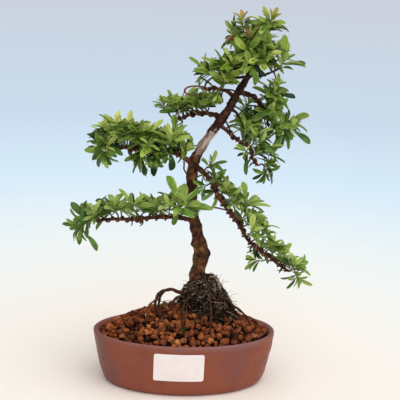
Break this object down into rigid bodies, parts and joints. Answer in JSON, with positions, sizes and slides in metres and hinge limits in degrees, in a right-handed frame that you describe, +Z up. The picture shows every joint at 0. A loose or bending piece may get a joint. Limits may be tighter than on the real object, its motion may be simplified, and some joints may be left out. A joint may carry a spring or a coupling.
{
  "type": "pyracantha bonsai in a pot",
  "caption": "Wired firethorn bonsai with a leaning trunk, exposed root mass and small green leaves, in an oval unglazed pot of clay granules.",
  "frame": {"origin": "centre of the pot's foot, on the surface that it stands on, within 2.2 mm of the middle of the whole part's underside", "axes": "+Z up along the tree, +X along the pot's long side towards the tree's falling right branch, -Y towards the front with the label"},
  "size_m": [0.2323, 0.1025, 0.353],
  "materials": {
    "clay": "unglazed red-brown stoneware, matt, with darker purple-grey patches",
    "granules": "porous fired clay granules, orange to dark red-brown",
    "root_fibres": "matted fine roots with old dark soil and specks of moss",
    "bark": "thin bark, olive brown below and red-brown above, rough",
    "wire": "annealed bonsai wire, anodised copper brown, satin",
    "leaf": "small leathery evergreen leaves, satin, yellow-green where young and red at the shoot tips",
    "label_paper": "plain white coated sticker, bare",
    "screen_plastic": "black moulded plastic mesh"
  },
  "bodies": {
    "root": {"drain_screen": "screen_plastic", "label": "label_paper", "pot": "clay", "root_ball": "root_fibres", "soil": "granules", "spray_back_right_1": "leaf", "spray_back_right_2": "leaf", "spray_crown_back_1": "leaf", "spray_crown_left_1": "leaf", "spray_crown_left_2": "leaf", "spray_crown_right_1": "leaf", "spray_crown_right_2": "leaf", "spray_crown_top_1": "leaf", "spray_crown_top_2": "leaf", "spray_falling_1": "leaf", "spray_falling_10": "leaf", "spray_falling_2": "leaf", "spray_falling_3": "leaf", "spray_falling_4": "leaf", "spray_falling_5": "leaf", "spray_falling_6": "leaf", "spray_falling_7": "leaf", "spray_falling_8": "leaf", "spray_falling_9": "leaf", "spray_lower_left_1": "leaf", "spray_lower_left_2": "leaf", "spray_lower_left_3": "leaf", "spray_lower_left_4": "leaf", "spray_lower_left_5": "leaf", "spray_lower_left_6": "leaf", "spray_middle_left_1": "leaf", "spray_middle_left_2": "leaf", "spray_middle_left_3": "leaf", "spray_middle_left_4": "leaf", "spray_middle_left_5": "leaf", "spray_middle_left_6": "leaf", "spray_middle_left_7": "leaf", "spray_middle_right_1": "leaf", "spray_middle_right_2": "leaf", "spray_middle_right_3": "leaf", "spray_middle_right_4": "leaf", "spray_middle_right_5": "leaf", "spray_top_left_1": "leaf", "spray_top_left_2": "leaf", "spray_trunk_1": "leaf", "spray_trunk_2": "leaf", "spray_trunk_3": "leaf", "spray_trunk_4": "leaf", "spray_upper_left_1": "leaf", "spray_upper_left_2": "leaf", "spray_upper_left_3": "leaf", "spray_upper_right_1": "leaf", "spray_upper_right_2": "leaf", "spray_upper_right_3": "leaf", "spray_upper_right_4": "leaf", "trunk_and_branches": "bark", "wire_lower": "wire", "wire_middle": "wire", "wire_top": "wire", "wire_upper": "wire"}
  },
  "joints": []
}
